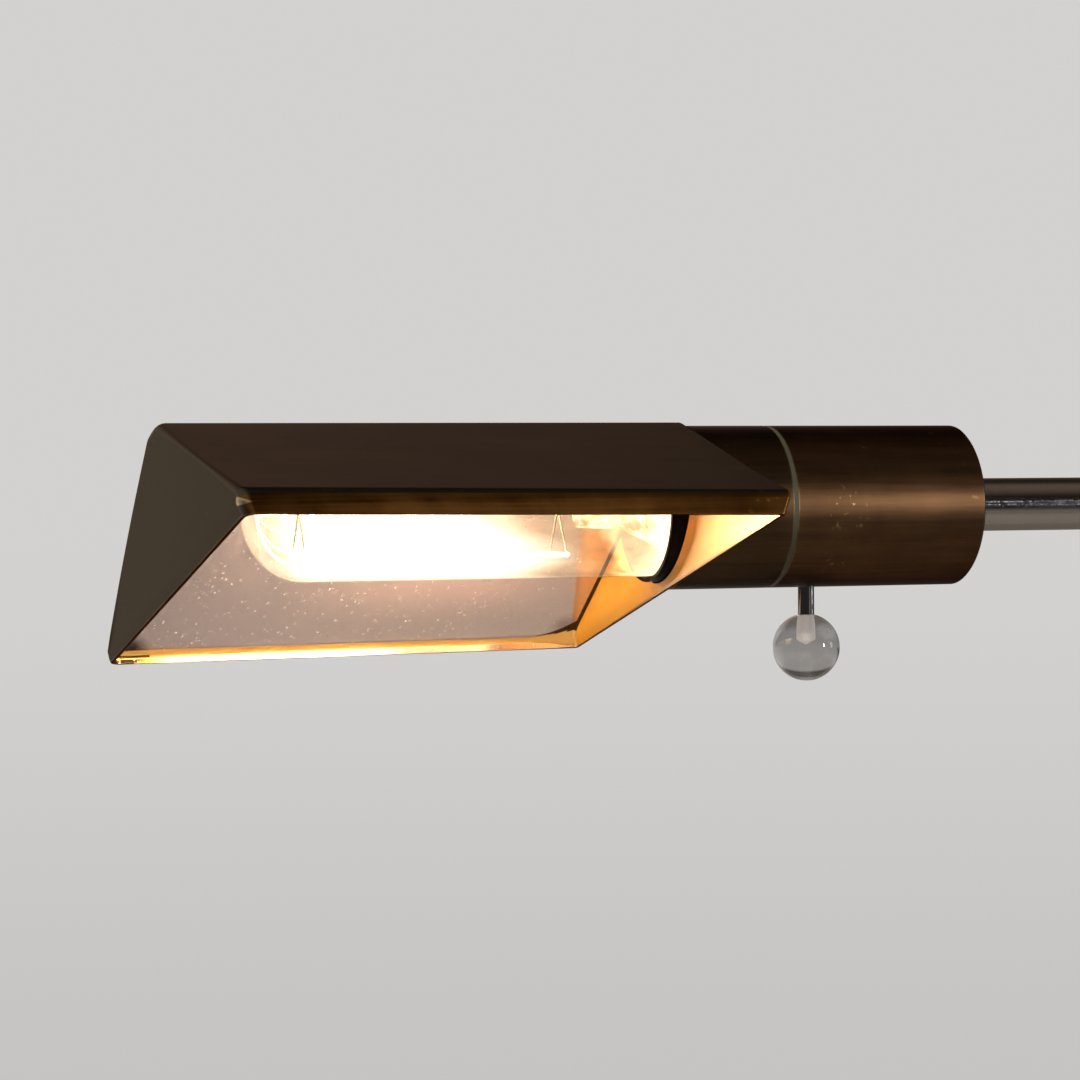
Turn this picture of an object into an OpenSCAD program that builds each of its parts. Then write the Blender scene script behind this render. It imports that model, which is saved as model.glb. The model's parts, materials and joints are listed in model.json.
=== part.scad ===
// Adjustable reading lamp for the floor: weighted disc base, column with a twist lock, sliding
// and swinging bent arm, and a cylindrical head whose tent shaped shade turns about the arm's axis.
// Millimetres, +Z up. The column's axis is Z, the floor is Z = 0, and the head lies toward -X.

/* [Base] */
// Outer diameter of the base
base_d = 254; // [200:1:300]
// Height of the base cover above the floor
base_h = 22; // [18:0.5:30]
// Sheet thickness of the base cover
base_wall = 1.2; // [0.8:0.1:2]
// Radius of the cover's upper edge
base_edge = 5; // [2:0.5:8]
// Thickness of the felt pad
pad_t = 2; // [1.5:0.5:4]
// Diameter of the hole for the flex in its bushing
flex_d = 6.6; // [5:0.1:8]

/* [Column] */
// Height of the column tube's upper end
column_top = 660; // [600:5:700]
// Outer diameter of the column tube
column_od = 19.05; // [18:0.05:22]
// Wall of the column tube
column_wall = 1.2; // [1:0.1:1.5]
// Length of the collet inside the column
collet_len = 30; // [20:1:40]
// Outer diameter of the twist ring
clamp_d = 28; // [27:0.5:34]
// Number of flutes round the twist ring
clamp_flutes = 28; // [16:1:36]

/* [Arm] */
// Height of the arm's axis at rest
arm_height = 1010; // [980:5:1060]
// Distance from the column's axis to the shade's seam
arm_reach = 310; // [250:5:340]
// Outer diameter of the bent arm tube
stem_od = 12.7; // [12:0.1:13.4]
// Wall of the bent arm tube
stem_wall = 1.2; // [1:0.1:1.4]
// Bend radius of the arm tube at its centre line
stem_bend = 45; // [30:1:60]
// How far the arm rises from rest to its stop
travel_up = 180; // [100:5:200]
// Length of the guide bush at the arm tube's lower end
guide_len = 50; // [30:1:60]

/* [Head] */
// Outer diameter of the housing and of the shade's collar
head_d = 38.1; // [37:0.1:42]
// Wall of the housing and of the collar
head_wall = 1.2; // [1:0.05:1.4]
// Length of the housing from the seam to its closed end
housing_len = 48.5; // [46:0.5:56]
// Thickness of the housing's closed end
cap_t = 2; // [1.5:0.1:3]
// Thickness of the friction washer at the seam
seam_t = 1.1; // [0.8:0.1:1.6]

/* [Shade] */
// Length of the shade along its middle
shade_len = 122.3; // [110:0.5:150]
// Width of the shade across its hem
shade_w = 134.5; // [120:0.5:150]
// Pitch of the two roof panels
roof_pitch = 27.8; // [26:0.1:30]
// Sheet thickness of the shade
sheet_t = 1.2; // [0.8:0.1:1.5]
// Outer radius of the ridge
ridge_r = 10; // [3:0.5:14]
// Outer radius of the folds and corners
fold_r = 6; // [3:0.5:8]
// Distance from the seam to the shade's rear end, on the axis
shade_back = 22.5; // [21:0.5:26]
// Lean of the shade's front end
front_lean = 2.1; // [0:0.1:5]
// Lean of the shade's rear end
rear_lean = 8; // [4:0.5:10]
// Turn of the shade about the arm's axis at rest
shade_turn = 15.3; // [0:0.1:40]

/* [Socket and switch] */
// Outer diameter of the socket's rim
socket_d = 34.4; // [34:0.1:34.8]
// How far the socket's rim stands in front of the seam
socket_front = 30; // [28:0.5:34]
// Distance of the switch key behind the seam
key_x = 10.6; // [10:0.1:12]
// Diameter of the switch key's stem
key_d = 4; // [3.6:0.1:4.4]
// Diameter of the ball on the switch key
ball_d = 15.9; // [14:0.1:18]
// Depth of the ball's centre below the arm's axis
ball_drop = 33.25; // [32:0.25:36]

/* [Bulb] */
// Diameter of the bulb
bulb_d = 31.75; // [30:0.25:33]
// Distance from the seam to the bulb's tip
bulb_tip = 126; // [115:0.5:130]
// Thickness of the bulb's glass
glass_t = 0.8; // [0.6:0.1:1.2]
// Number of filament strands
strands = 6; // [4:1:8]

/* [Fits] */
// Radial clearance of pieces that turn or slide
run_gap = 0.05; // [0.03:0.01:0.1]
// Radial clearance of pieces that stay together
seat_gap = 0.02; // [0.01:0.01:0.04]
// Clearance of pieces that must not touch
free_gap = 0.4; // [0.3:0.05:0.6]

/* [Hidden] */
$fn = 72;

column_id = column_od - 2 * column_wall;
stem_id = stem_od - 2 * stem_wall;
head_id = head_d - 2 * head_wall;
head_r = head_d / 2;

// Base: the weight fills the cover, and a hollow stud with a nut holds the column down.
cover_z = pad_t / 2;
weight_r = base_d / 2 - base_wall - free_gap;
weight_top = base_h - base_wall;
stud_d = 10;
stud_bore = 6.4;
nut_af = 17;
nut_t = 5;
washer_d = 26;
washer_t = 1.5;
recess_d = washer_d + 8;
recess_top = pad_t + nut_t + washer_t + 2.5;
flex_z = pad_t + 8;
bush_d = flex_d + 4;
bush_flange = bush_d + 3.4;
bush_in = 14;
flange_d = 44;
flange_h = 14;
plug_h = 24;

// Twist lock: collet in the column's mouth, threaded collar outside it, ring over both.
collar_d = column_od + 5.6;
thread_d = column_od + 3.4;
collar_low = column_top - 34;
thread_low = column_top - 19;
thread_top = column_top - 3;
ring_low = column_top - 18;
cone_h = 6;
flange_t = 3;
ring_top = column_top + flange_t + cone_h + 6;
collet_flange = column_od + 0.4;
collet_tip = stem_od + 2.6;

// Arm: the guide bush meets the collet when the arm is at its upper stop.
clip_t = 1;
guide_top = column_top - collet_len - clip_t - 0.5 - travel_up;
guide_low = guide_top - guide_len;
clip_groove = 0.4;
stem_low = guide_low - clip_t - 5;

// Head, along the arm's axis from the seam, +X toward the column.
cap_in = housing_len - cap_t;
end_edge = 0.35;
sleeve_front = -14;
sleeve_back = 7.4;
sleeve_od = head_id - 2 * run_gap;
sleeve_wall = 0.9;
sleeve_id = sleeve_od - 2 * sleeve_wall;
ring_x = -11.5;
ring_w = 1.2;
ring_in = sleeve_od - 0.9;
ring_out = head_id + 0.5;
socket_split = 1.5;
socket_step = sleeve_front - 1.5;
cup_d = bulb_d + 2 * free_gap;
cup_end = -socket_front + 9;
socket_mid = sleeve_id - 0.6;
shell_od = 28.4;
shell_wall = 0.4;
socket_bore = shell_od + 2 * seat_gap;
bore_end = -1;
rear_bore = 28;
rear_floor = 25;
rear_end = 30;
nipple_d = stem_id - 2 * run_gap;
nipple_bore = 6.5;
nipple_front = rear_floor + 0.5;
nipple_back = housing_len + 14;
locknut_t = 3.6;
locknut_af = 15;
hwasher_t = 1.2;
hwasher_d = 22;

// Switch, inside the socket's rear half, about the key's axis.
rotor_d = 10;
rotor_h = 6;
bridge_low = 4;
bridge_t = 2.4;
leaf_t = 0.5;
leaf_w = 4;
leaf_y = rotor_d / 2 + free_gap;
screw_y = 11;
screw_head = 5;
screw_shank = 2.8;
ball_r = ball_d / 2;
pin_d = key_d - 1;
seat_z = -ball_drop + ball_r - 1.3;
pin_z = seat_z - 4.2;
drill_z = seat_z - 5.4;

// Shade: both roof panels are tangent to the collar; the rim is level with the collar's lowest line, or lower
// where the folds need it.
ridge_z = (head_r - ridge_r) / cos(roof_pitch);
hem_y = shade_w / 2 - fold_r;
hem_z = (head_r - fold_r - hem_y * sin(roof_pitch)) / cos(roof_pitch);
rim_z = min(-head_r, hem_z - 1.5);
shade_hole = head_id - 0.5;

// Bulb, along the same axis: cap in the socket's shell, glass tube in the shade.
bulb_r = bulb_d / 2;
dome_l = 13.5;
dome_x = -bulb_tip + dome_l;
cap_r = 13.1;
cap_wall = 0.4;
neck_r = cap_r - cap_wall - seat_gap;
shoulder_x = -socket_front + 0.5;
shoulder_l = 4.5;
cap_front = shoulder_x + shoulder_l + 0.5;
cap_end = -7.5;
thread_pitch = 3.6;
neck_end = cap_front + 6;
contact_end = -2.5;
foot_r = 5;
foot_x = cap_front - 11;
press_x = foot_x - 11;
strand_r = 12;
strand_d = 0.9;
bead_d = strand_d + 0.3;
strand_near = press_x - 5;
strand_far = -bulb_tip + 13;
spoke_d = 0.5;

/* [Hidden] */

module ring(od, id, h) {
  difference() {
    cylinder(d = od, h = h);
    translate([0, 0, -1]) cylinder(d = id, h = h + 2);
  }
}

module hex_nut(af, id, h) {
  difference() {
    cylinder(d = af / cos(30), h = h, $fn = 6);
    translate([0, 0, -1]) cylinder(d = id, h = h + 2);
  }
}

// Children are drawn along +Z and laid along +X.
module along_x() {
  rotate([0, 90, 0]) children();
}

module at_head() {
  translate([-arm_reach, 0, arm_height]) children();
}

module at_shade() {
  at_head() rotate([-shade_turn, 0, 0]) children();
}

module at_key() {
  at_head() translate([key_x, 0, 0]) children();
}

module base_pad() {
  color("#1d1c1b") cylinder(r = weight_r - 1, h = pad_t);
}

module base_weight() {
  color("#2c2b2a") translate([0, 0, pad_t]) difference() {
    union() {
      cylinder(r = weight_r, h = weight_top - pad_t - base_edge);
      cylinder(r = weight_r - base_edge, h = weight_top - pad_t);
    }
    translate([0, 0, -1]) cylinder(d = stud_d + 0.4, h = base_h);
    translate([0, 0, -1]) cylinder(d = recess_d, h = recess_top - pad_t + 1);
    translate([0, -bush_d / 2 - 0.3, -1])
      cube([base_d, bush_d + 0.6, flex_z + bush_d / 2 + 0.3 - pad_t + 1]);
  }
}

module base_cover() {
  color("#3d3027") difference() {
    rotate_extrude() difference() {
      union() {
        translate([0, cover_z]) square([base_d / 2, base_h - base_edge - cover_z]);
        translate([0, cover_z]) square([base_d / 2 - base_edge, base_h - cover_z]);
        translate([base_d / 2 - base_edge, base_h - base_edge]) circle(r = base_edge);
      }
      square([base_d / 2 - base_wall, base_h - base_edge]);
      square([base_d / 2 - base_edge, base_h - base_wall]);
      translate([base_d / 2 - base_edge, base_h - base_edge]) circle(r = base_edge - base_wall);
      translate([-1, 0]) square([stud_d / 2 + 1 + 0.2, base_h + 1]);
    }
    translate([base_d / 2 - 10, 0, flex_z]) along_x() cylinder(d = bush_d + 2 * seat_gap, h = 20);
  }
}

module cord_bushing() {
  color("#161616") translate([base_d / 2, 0, flex_z]) along_x() difference() {
    union() {
      translate([0, 0, -bush_in]) cylinder(d = bush_d, h = bush_in + 1);
      cylinder(d = bush_flange, h = 1.6);
      translate([0, 0, 1.6]) cylinder(d1 = bush_flange, d2 = bush_d, h = 1.4);
    }
    translate([0, 0, -bush_in - 1]) cylinder(d = flex_d, h = bush_in + 6);
  }
}

module column_ferrule() {
  color("#3d3027") translate([0, 0, base_h]) rotate_extrude() difference() {
    translate([column_od / 2 + seat_gap, 0]) square([(flange_d - column_od) / 2, flange_h]);
    translate([flange_d / 2 + 1.5, flange_h + 1]) circle(r = flange_h - 2);
    translate([flange_d / 2, -1]) square([10, flange_h + 3]);
  }
}

module column_stud() {
  color("#8d8a84") difference() {
    union() {
      translate([0, 0, base_h]) cylinder(d = column_id - 2 * seat_gap, h = plug_h);
      translate([0, 0, pad_t + 1]) cylinder(d = stud_d, h = base_h + 2 - pad_t);
    }
    cylinder(d = stud_bore, h = base_h + plug_h + 1);
  }
}

module base_washer() {
  color("#9a9893") translate([0, 0, recess_top - washer_t]) ring(washer_d, stud_d + 0.4, washer_t);
}

module base_nut() {
  color("#9a9893") translate([0, 0, recess_top - washer_t - nut_t])
    hex_nut(nut_af, stud_d + 2 * seat_gap, nut_t);
}

module column_tube() {
  color("#b9b9b7") translate([0, 0, base_h]) ring(column_od, column_id, column_top - base_h);
}

module column_collar() {
  color("#b9b9b7") difference() {
    union() {
      translate([0, 0, collar_low]) cylinder(d1 = collar_d - 2, d2 = collar_d, h = 1);
      translate([0, 0, collar_low + 1]) cylinder(d = collar_d, h = thread_low - collar_low - 1);
      translate([0, 0, thread_low - 1]) cylinder(d = thread_d, h = thread_top - thread_low + 1);
    }
    translate([0, 0, collar_low - 1])
      cylinder(d = column_od + 2 * seat_gap, h = thread_top - collar_low + 2);
  }
}

module collet() {
  color("#d9d6cd") difference() {
    union() {
      translate([0, 0, column_top - collet_len])
        cylinder(d = column_id - 2 * seat_gap, h = collet_len + 1);
      translate([0, 0, column_top]) cylinder(d = collet_flange, h = flange_t);
      translate([0, 0, column_top + flange_t])
        cylinder(d1 = collet_flange, d2 = collet_tip, h = cone_h);
    }
    translate([0, 0, column_top - collet_len - 1])
      cylinder(d = stem_od + 2 * run_gap, h = collet_len + 20);
    for (a = [45, 135])
      rotate([0, 0, a]) translate([-20, -0.5, column_top - collet_len / 2]) cube([40, 1, 60]);
  }
}

module clamp_ring() {
  color("#b9b9b7") difference() {
    union() {
      translate([0, 0, ring_low]) cylinder(d1 = clamp_d - 2, d2 = clamp_d, h = 1);
      translate([0, 0, ring_low + 1]) cylinder(d = clamp_d, h = ring_top - ring_low - 5);
      translate([0, 0, ring_top - 4]) cylinder(d1 = clamp_d, d2 = clamp_d - 7, h = 4);
    }
    translate([0, 0, ring_low - 1]) cylinder(d = thread_d + 2 * run_gap, h = thread_top - ring_low + 3);
    translate([0, 0, column_top - 3]) cylinder(d = collet_flange + 2 * free_gap, h = flange_t + 3.3);
    translate([0, 0, column_top + flange_t + 0.3])
      cylinder(d1 = collet_flange + 2 * free_gap, d2 = collet_tip + 2 * free_gap, h = cone_h);
    translate([0, 0, column_top]) cylinder(d = stem_od + 2 * free_gap, h = 40);
    for (i = [0:clamp_flutes - 1])
      rotate([0, 0, i * 360 / clamp_flutes]) translate([clamp_d / 2 + 0.3, 0, ring_low + 3])
        cylinder(r = 1, h = ring_top - ring_low - 9, $fn = 24);
  }
}

module guide_bush() {
  color("#d9d6cd") translate([0, 0, guide_low])
    ring(column_id - 2 * run_gap, stem_od + 2 * run_gap, guide_len);
}

// Two open rings in grooves of the arm tube, above and below the guide bush.
module guide_clips() {
  color("#77756f") for (z = [guide_low - clip_t - 0.1, guide_top + 0.1])
    translate([0, 0, z]) difference() {
      ring(stem_od + 1.6, stem_od - 2 * clip_groove + 2 * seat_gap, clip_t);
      translate([0, -1.5, -1]) cube([20, 3, clip_t + 2]);
    }
}

module stem_path(d) {
  translate([0, 0, stem_low]) cylinder(d = d, h = arm_height - stem_bend - stem_low);
  translate([-stem_bend, 0, arm_height - stem_bend]) rotate([90, 0, 0])
    rotate_extrude(angle = 90) translate([stem_bend, 0]) circle(d = d);
  translate([housing_len - arm_reach, 0, arm_height]) along_x()
    cylinder(d = d, h = arm_reach - housing_len - stem_bend);
}

module stem_tube() {
  color("#c4c4c2") difference() {
    stem_path(stem_od);
    stem_path(stem_id);
    translate([0, 0, stem_low - 1]) cylinder(d = stem_id, h = 3);
    translate([housing_len - arm_reach - 1, 0, arm_height]) along_x() cylinder(d = stem_id, h = 3);
    for (z = [guide_low - clip_t - 0.2, guide_top])
      translate([0, 0, z]) ring(stem_od + 2, stem_od - 2 * clip_groove, clip_t + 0.2);
  }
}

module arm_nipple() {
  color("#a08a52") at_head() translate([nipple_front, 0, 0]) along_x()
    ring(nipple_d, nipple_bore, nipple_back - nipple_front);
}

module housing_washer() {
  color("#9a9893") at_head() translate([cap_in - hwasher_t, 0, 0]) along_x()
    ring(hwasher_d, nipple_d + 0.3, hwasher_t);
}

// One nut clamps the housing to the arm tube, the other locks the socket on the nipple.
module nipple_nuts() {
  color("#a08a52") at_head() for (x = [rear_end, cap_in - hwasher_t - locknut_t])
    translate([x, 0, 0]) along_x() hex_nut(locknut_af, nipple_d + 2 * seat_gap, locknut_t);
}

module housing() {
  color("#4a3728") at_head() difference() {
    union() {
      translate([seam_t / 2, 0, 0]) along_x() cylinder(d = head_d, h = housing_len - seam_t / 2 - end_edge);
      translate([housing_len - end_edge, 0, 0]) along_x()
        cylinder(d1 = head_d, d2 = head_d - 2 * end_edge, h = end_edge);
    }
    translate([-1, 0, 0]) along_x() cylinder(d = head_id, h = cap_in + 1);
    translate([cap_in - 1, 0, 0]) along_x() cylinder(d = nipple_d + 2 * seat_gap, h = cap_t + 2);
    translate([key_x, 0, -head_r - 2]) cylinder(d = key_d + 2 * free_gap, h = head_r);
  }
}

module swivel_sleeve() {
  color("#a08a52") at_head() difference() {
    translate([sleeve_front, 0, 0]) along_x() ring(sleeve_od, sleeve_id, sleeve_back - sleeve_front);
    translate([ring_x - 0.1, 0, 0]) along_x() ring(head_d, ring_in - 2 * seat_gap, ring_w + 0.2);
  }
}

// Open spring ring that sits in the sleeve's groove and keeps the collar from pulling off.
module snap_ring() {
  color("#77756f") at_head() translate([ring_x, 0, 0]) along_x() difference() {
    ring(ring_out, ring_in, ring_w);
    translate([0, -2, -1]) cube([40, 4, ring_w + 2]);
  }
}

module friction_washer() {
  color("#c9cdbd") at_head() translate([-seam_t / 2, 0, 0]) along_x()
    ring(head_d - 0.1, sleeve_od + 2 * run_gap, seam_t);
}

module shade_collar() {
  color("#4a3728") at_shade() difference() {
    translate([-shade_back - 8, 0, 0]) along_x() ring(head_d, head_id, shade_back + 8 - seam_t / 2);
    translate([ring_x - 0.15, 0, 0]) along_x() cylinder(d = ring_out + 2 * run_gap, h = ring_w + 0.3);
    translate([-shade_back, 0, 0]) rotate([0, rear_lean, 0]) translate([-60, -40, -40]) cube([60, 80, 80]);
  }
}

// Points of an arc in the cross section, as pairs of y and z.
function arc(y, z, r, from, to, n = 10) =
  [for (i = [0:n]) [y + r * cos(from + (to - from) * i / n), z + r * sin(from + (to - from) * i / n)]];

// Cross section of the tent, inset from its outer face and closed below the rim by a given depth.
function tent_line(inset, low) = concat(
  [[-hem_y - fold_r + inset, rim_z - low]],
  arc(-hem_y, hem_z, fold_r - inset, 180, 90 + roof_pitch),
  arc(0, ridge_z, ridge_r - inset, 90 + roof_pitch, 90 - roof_pitch),
  arc(hem_y, hem_z, fold_r - inset, 90 - roof_pitch, 0),
  [[hem_y + fold_r - inset, rim_z - low]]
);

// Tent between its two leaning ends, with every face moved in by the inset.
module tent(inset, low) {
  difference() {
    translate([-shade_back - shade_len - 10, 0, 0]) rotate([90, 0, 90])
      linear_extrude(height = shade_len + 20) polygon(tent_line(inset, low));
    translate([-shade_back, 0, 0]) rotate([0, rear_lean, 0])
      translate([-inset, -100, -60]) cube([60, 200, 120]);
    translate([-shade_back - shade_len, 0, 0]) rotate([0, -front_lean, 0])
      translate([inset - 60, -100, -60]) cube([60, 200, 120]);
  }
}

module shade_shell() {
  color("#3a322c") at_shade() difference() {
    tent(0, 0);
    tent(sheet_t, 2);
    translate([-shade_back - 8, 0, 0]) along_x() cylinder(d = shade_hole, h = 20);
  }
}

module socket_front() {
  color("#17130f") at_head() difference() {
    union() {
      translate([-socket_front, 0, 0]) along_x() cylinder(d = socket_d, h = socket_step + socket_front);
      translate([-socket_front, 0, 0]) along_x() cylinder(d = socket_mid, h = socket_split + socket_front);
    }
    translate([-socket_front - 1, 0, 0]) along_x() cylinder(d = cup_d, h = cup_end + socket_front + 1);
    translate([cup_end - 1, 0, 0]) along_x() cylinder(d = socket_bore, h = bore_end - cup_end + 1);
    translate([-5, 0, 0]) along_x() cylinder(d = 4, h = 20);
  }
}

module socket_rear() {
  color("#17130f") at_head() difference() {
    translate([socket_split, 0, 0]) along_x() cylinder(d = socket_mid, h = rear_end - socket_split);
    translate([socket_split - 1, 0, 0]) along_x() cylinder(d = rear_bore, h = rear_floor - socket_split + 1);
    translate([rear_floor - 1, 0, 0]) along_x() cylinder(d = nipple_d + 2 * seat_gap, h = 20);
    translate([key_x, 0, -head_r]) cylinder(d = key_d + 2 * run_gap, h = head_r);
    for (s = [-1, 1])
      translate([rear_floor - 1, s * screw_y, 0]) along_x() cylinder(d = screw_shank + 2 * seat_gap, h = 20);
  }
}

module screw_shell() {
  color("#b08d45") at_head() translate([cup_end, 0, 0]) along_x()
    ring(shell_od, shell_od - 2 * shell_wall, bore_end - 0.5 - cup_end);
}

module centre_contact() {
  color("#b08d45") at_head() {
    translate([bore_end, 0, 0]) along_x() cylinder(d = 4 - 2 * seat_gap, h = socket_split - bore_end + 1);
    translate([bore_end - 0.6, -2.5, -9]) cube([0.6, 5, 12]);
    translate([contact_end, 0, 0]) along_x() cylinder(d1 = 3, d2 = 4, h = bore_end - contact_end - 0.3);
  }
}

module switch_bridge() {
  w = 2 * sqrt(pow(rear_bore / 2, 2) - pow(bridge_low + bridge_t, 2)) - 2 * seat_gap;
  color("#6b4a2a") at_key() difference() {
    translate([-7, -w / 2, bridge_low]) cube([rear_floor - key_x + 7, w, bridge_t]);
    translate([0, 0, bridge_low - 1]) cylinder(d = key_d + 2 * run_gap, h = bridge_t + 2);
  }
}

module switch_leaves() {
  color("#b08d45") at_head() for (s = [-1, 1]) {
    translate([key_x - 3, s * (leaf_y + leaf_t / 2) - leaf_t / 2, -leaf_w / 2])
      cube([rear_floor - key_x + 3, leaf_t, leaf_w]);
    translate([rear_floor - leaf_t, s * (leaf_y + screw_y) / 2 - (screw_y - leaf_y) / 2, -leaf_w / 2])
      cube([leaf_t, screw_y - leaf_y, leaf_w]);
  }
}

module terminal_screws() {
  color("#9a9893") at_head() for (s = [-1, 1])
    translate([rear_end, s * screw_y, 0]) along_x() difference() {
      union() {
        cylinder(d = screw_head, h = 2);
        translate([0, 0, rear_floor - rear_end]) cylinder(d = screw_shank, h = rear_end - rear_floor + 1);
      }
      translate([-5, -0.4, 1.1]) cube([10, 0.8, 2]);
    }
}

module switch_rotor() {
  color("#6b4a2a") at_key() difference() {
    translate([0, 0, -rotor_h / 2]) cylinder(d = rotor_d, h = rotor_h);
    translate([0, 0, -rotor_h]) cylinder(d = key_d + 2 * seat_gap, h = 2 * rotor_h);
    for (s = [0, 180])
      rotate([0, 0, s]) translate([3.6, -5, -1.5]) cube([10, 10, 3]);
  }
}

module key_stem() {
  color("#c4c4c2") at_key() {
    translate([0, 0, seat_z]) cylinder(d = key_d, h = bridge_low + bridge_t - seat_z);
    translate([0, 0, pin_z]) cylinder(d = pin_d, h = seat_z - pin_z + 1);
  }
}

module key_ball() {
  color("#d8dcdc") at_key() difference() {
    translate([0, 0, -ball_drop]) sphere(r = ball_r);
    translate([0, 0, seat_z]) cylinder(d = key_d + 2 * seat_gap, h = 10);
    translate([0, 0, drill_z]) cylinder(d = pin_d + 2 * seat_gap, h = 10);
    translate([0, 0, drill_z - 0.8]) cylinder(d1 = 0.2, d2 = pin_d + 2 * seat_gap, h = 0.8);
  }
}

// Half outline of the bulb's glass from the tip to the neck, as points of radius and distance.
function glass_line(inset) = concat(
  [[0, -bulb_tip + inset]],
  [for (i = [1:16]) [(bulb_r - inset) * sin(i * 90 / 16), dome_x - (dome_l - inset) * cos(i * 90 / 16)]],
  [for (i = [0:8])
    [neck_r - inset + (bulb_r - neck_r) * (1 + cos(i * 180 / 8)) / 2, shoulder_x + shoulder_l * i / 8]],
  [[neck_r - inset, neck_end]]
);

module bulb_glass() {
  inner = glass_line(glass_t);
  color("#efe3cc") at_head() along_x() rotate_extrude()
    polygon(concat(glass_line(0), [for (i = [len(inner) - 1:-1:0]) inner[i]]));
}

module bulb_cap() {
  color("#b08d45") at_head() along_x() difference() {
    union() {
      translate([0, 0, cap_front]) cylinder(r = cap_r, h = cap_end - cap_front);
      for (i = [0:2])
        translate([0, 0, cap_end - thread_pitch * (i + 1)])
          rotate_extrude() translate([cap_r - 0.2, 0]) circle(r = 0.6);
    }
    translate([0, 0, cap_front - 1]) cylinder(r = cap_r - cap_wall, h = cap_end - cap_front + 2);
  }
}

module bulb_insulator() {
  color("#141414") at_head() along_x() {
    translate([0, 0, cap_end - 3]) cylinder(r = cap_r - cap_wall - seat_gap, h = 3);
    translate([0, 0, cap_end]) cylinder(r1 = cap_r - 1, r2 = 6, h = contact_end - 1.2 - cap_end);
  }
}

module bulb_contact() {
  color("#9a9893") at_head() along_x()
    translate([0, 0, contact_end - 1.2]) cylinder(r1 = 5, r2 = 4.2, h = 1.2);
}

// Flared glass foot sealed in the neck, drawn out to the pinched end that holds the wires.
module bulb_mount() {
  flare = neck_r - glass_t - seat_gap;
  color("#efe3cc") at_head() along_x() {
    translate([0, 0, neck_end - 3]) cylinder(r = flare, h = 2);
    translate([0, 0, foot_x]) cylinder(r1 = foot_r, r2 = flare, h = neck_end - 3 - foot_x);
    translate([0, 0, press_x]) cylinder(r1 = foot_r - 0.6, r2 = foot_r, h = foot_x - press_x);
  }
}

module bulb_wires() {
  color("#b7b4ad") at_head() {
    translate([strand_far, 0, 0]) along_x() cylinder(d = 0.9, h = press_x - strand_far);
    for (i = [0:strands - 1])
      for (x = [strand_far, strand_near])
        translate([x, 0, 0]) rotate([90 + i * 360 / strands, 0, 0])
          cylinder(d = spoke_d, h = strand_r - bead_d / 2 - free_gap / 2);
  }
}

// Strands laid lengthwise round the axis, joined in turn at the far and the near end.
module bulb_filament() {
  a = 360 / strands;
  chord = 2 * strand_r * sin(a / 2);
  color("#ffe2a8") at_head() for (i = [0:strands - 1]) rotate([90 + i * a, 0, 0]) {
    translate([strand_far, 0, strand_r]) along_x() cylinder(d = strand_d, h = strand_near - strand_far);
    for (x = [strand_far, strand_near])
      translate([x, 0, strand_r]) sphere(d = bead_d);
    if (i < strands - 1)
      translate([i % 2 == 0 ? strand_far : strand_near, 0, strand_r]) rotate([90 + a / 2, 0, 0])
        cylinder(d = strand_d, h = chord);
  }
}

base_pad();
base_weight();
base_cover();
cord_bushing();
column_ferrule();
column_stud();
base_washer();
base_nut();
column_tube();
column_collar();
collet();
clamp_ring();
guide_bush();
guide_clips();
stem_tube();
arm_nipple();
housing_washer();
nipple_nuts();
housing();
swivel_sleeve();
snap_ring();
friction_washer();
shade_collar();
shade_shell();
socket_front();
socket_rear();
screw_shell();
centre_contact();
switch_bridge();
switch_leaves();
terminal_screws();
switch_rotor();
key_stem();
key_ball();
bulb_glass();
bulb_cap();
bulb_insulator();
bulb_contact();
bulb_mount();
bulb_wires();
bulb_filament();
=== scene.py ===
"""Looks of the adjustable floor lamp: bronze head with a lit tubular bulb, chrome arm and column.

Metres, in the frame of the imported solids. The column's axis is Z, the floor is Z = 0, and the head
lies toward -X. Sizes of the pieces made here are in millimetres until they are placed.
"""
import json
import math

import bmesh
import bpy
from mathutils import Matrix, Vector

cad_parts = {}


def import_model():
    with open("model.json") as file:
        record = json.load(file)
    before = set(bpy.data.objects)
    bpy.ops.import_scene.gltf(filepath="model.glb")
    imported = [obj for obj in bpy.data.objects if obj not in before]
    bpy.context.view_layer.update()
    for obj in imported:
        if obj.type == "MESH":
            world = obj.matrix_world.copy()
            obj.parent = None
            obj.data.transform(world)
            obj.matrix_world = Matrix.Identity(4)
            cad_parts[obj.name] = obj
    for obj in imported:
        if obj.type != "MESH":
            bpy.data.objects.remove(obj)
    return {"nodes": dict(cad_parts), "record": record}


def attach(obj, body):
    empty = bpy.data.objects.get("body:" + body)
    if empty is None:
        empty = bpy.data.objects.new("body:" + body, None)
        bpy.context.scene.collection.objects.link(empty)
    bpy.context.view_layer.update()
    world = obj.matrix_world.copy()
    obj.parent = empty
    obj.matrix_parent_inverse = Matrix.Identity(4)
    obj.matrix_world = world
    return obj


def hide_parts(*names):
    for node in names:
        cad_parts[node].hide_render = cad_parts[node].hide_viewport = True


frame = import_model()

scene = bpy.context.scene
nodes = frame["nodes"]
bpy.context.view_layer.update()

MM = 0.001
HEAD = Vector((-0.310, 0.0, 1.010))  # the shade's seam on the arm's axis
STRANDS = 6  # glowing strands round the bulb's axis
CORNER = HEAD + Vector((-0.140, 0.0617, -0.0336))  # far front corner inside the shade
NEAR_TIP = HEAD + Vector((-0.1408, -0.0687, 0.0026))  # near front corner, where a glint is painted
REAR_CORNER = HEAD + Vector((-0.0283, 0.0575, -0.0312))  # far rear corner inside the shade
SHADE_TURN = math.radians(14.85)  # of the shade about the arm, at rest
WARM_WHITE = (1.0, 0.985, 0.96)
# tone of a painted glint
GLINT_TONE = (0.62, 0.47, 0.27)


# Helpers for node trees

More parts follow.
